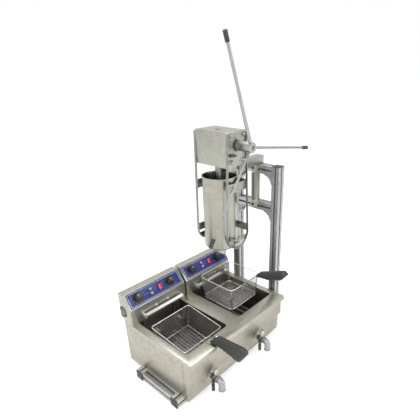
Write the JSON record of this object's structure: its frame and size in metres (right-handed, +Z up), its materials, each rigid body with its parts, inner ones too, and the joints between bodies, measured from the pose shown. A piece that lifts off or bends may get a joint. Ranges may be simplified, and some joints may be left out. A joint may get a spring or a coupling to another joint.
{
  "type": "churro maker",
  "caption": "Hand-lever churro extruder on a slotted-profile stand over a double-tank fryer with lift-out baskets and control heads.",
  "frame": {"origin": "on the bench, under the middle of the whole object", "axes": "+X along the fryer's front towards the stand's posts, +Y from the operator to the back, +Z up"},
  "size_m": [0.8402, 0.5888, 1.3447],
  "materials": {
    "stainless": "brushed",
    "polished_steel": "polished",
    "aluminium_profile": "anodised satin",
    "cast_bracket": "cast satin",
    "black_plastic": "matt",
    "black_gloss": "gloss",
    "black_steel": "blackened",
    "blue_panel": "printed gloss",
    "red_switch": "translucent",
    "lamp_lens": "translucent",
    "bronze": "machined",
    "tool_steel": "ground",
    "seal_rubber": "matt",
    "grey_fitting": "satin plated"
  },
  "bodies": {
    "frame": {"fryer_body": "stainless", "front_panel": "stainless", "deck": "stainless", "left_tank": "stainless", "right_tank": "stainless", "left_head": "stainless", "right_head": "stainless", "gearbox_housing": "stainless", "gearbox_floor": "stainless", "upper_band": "stainless", "lower_band": "stainless", "cylinder": "stainless", "support_arm": "stainless", "support_column": "stainless", "front_loop": "polished_steel", "rear_loop": "polished_steel", "heating_elements": "polished_steel", "hanging_bars": "polished_steel", "nozzle_ring": "polished_steel", "star_nozzle": "polished_steel", "base_rail_front": "aluminium_profile", "base_rail_rear": "aluminium_profile", "post_front": "aluminium_profile", "post_rear": "aluminium_profile", "base_cross_rails": "aluminium_profile", "cross_beams": "aluminium_profile", "corner_brackets": "cast_bracket", "profile_caps": "black_plastic", "cable_glands": "black_plastic", "control_units": "black_plastic", "frame_bolts": "black_steel", "gearbox_screws": "black_steel", "control_panels": "blue_panel", "panel_fittings": "lamp_lens", "shaft_bushes": "bronze", "rack_guide": "bronze", "drain_valves": "grey_fitting"},
    "lever_assembly": {"drive_shaft": "polished_steel", "pinion": "tool_steel", "hub": "polished_steel", "shaft_collar": "black_steel", "lever_upper": "polished_steel", "plain_levers": "polished_steel", "lever_grips": "black_plastic"},
    "rack_and_piston": {"rack": "tool_steel", "piston": "stainless", "piston_seal": "seal_rubber"},
    "latch": {"lock_latch": "black_steel"},
    "left_thermostat": {"left_thermostat_knob": "black_gloss"},
    "left_timer": {"left_timer_knob": "black_gloss"},
    "right_thermostat": {"right_thermostat_knob": "black_gloss"},
    "right_timer": {"right_timer_knob": "black_gloss"},
    "left_rocker": {"left_switch": "red_switch"},
    "right_rocker": {"right_switch": "red_switch"},
    "left_fry_basket": {"left_basket": "polished_steel", "left_basket_grip": "black_plastic"},
    "right_fry_basket": {"right_basket": "polished_steel", "right_basket_grip": "black_plastic"},
    "left_drain_handle": {"left_drain_lever": "black_steel"},
    "right_drain_handle": {"right_drain_lever": "black_steel"}
  },
  "joints": [
    {"name": "lever_turn", "type": "hinge", "parent": "frame", "child": "lever_assembly", "pos_m": [0.03562, 0.0644, 0.9645], "axis": [0, 1, 0], "range_deg": [0, 1077]},
    {"name": "rack_slide", "type": "slide", "parent": "frame", "child": "rack_and_piston", "axis": [0, 0, 1], "range_m": [0, 0.282]},
    {"name": "latch_turn", "type": "hinge", "parent": "frame", "child": "latch", "pos_m": [-0.00863, -0.0216, 0.9305], "axis": [0, -1, 0], "range_deg": [0, 18]},
    {"name": "left_thermostat_turn", "type": "hinge", "parent": "frame", "child": "left_thermostat", "pos_m": [-0.33213, 0.23581, 0.34342], "axis": [0, 0.8081, -0.589], "range_deg": [0, 300]},
    {"name": "left_timer_turn", "type": "hinge", "parent": "frame", "child": "left_timer", "pos_m": [-0.15913, 0.23581, 0.34342], "axis": [0, 0.8081, -0.589], "range_deg": [0, 300]},
    {"name": "left_rocker_tilt", "type": "hinge", "parent": "frame", "child": "left_rocker", "pos_m": [-0.21313, 0.23702, 0.34253], "axis": [-1, 0, 0], "range_deg": [0, 14]},
    {"name": "right_thermostat_turn", "type": "hinge", "parent": "frame", "child": "right_thermostat", "pos_m": [-0.02313, 0.23581, 0.34342], "axis": [0, 0.8081, -0.589], "range_deg": [0, 300]},
    {"name": "right_timer_turn", "type": "hinge", "parent": "frame", "child": "right_timer", "pos_m": [0.14987, 0.23581, 0.34342], "axis": [0, 0.8081, -0.589], "range_deg": [0, 300]},
    {"name": "right_rocker_tilt", "type": "hinge", "parent": "frame", "child": "right_rocker", "pos_m": [0.09587, 0.23702, 0.34253], "axis": [-1, 0, 0], "range_deg": [0, 14]},
    {"name": "left_drain_turn", "type": "hinge", "parent": "frame", "child": "left_drain_handle", "pos_m": [-0.28363, -0.1526, 0.08], "axis": [-1, 0, 0], "range_deg": [0, 90]},
    {"name": "right_drain_turn", "type": "hinge", "parent": "frame", "child": "right_drain_handle", "pos_m": [0.02537, -0.1526, 0.08], "axis": [-1, 0, 0], "range_deg": [0, 90]},
    {"name": "left_basket_lift", "type": "slide", "parent": "frame", "child": "left_fry_basket", "axis": [0, 0, 1], "range_m": [0, 0.18]},
    {"name": "right_basket_lift", "type": "slide", "parent": "frame", "child": "right_fry_basket", "axis": [0, 0, 1], "range_m": [0, 0.05]}
  ],
  "couplings": [
    {"joint": "rack_slide", "follows": "lever_turn", "m_per_rad": 0.015}
  ]
}
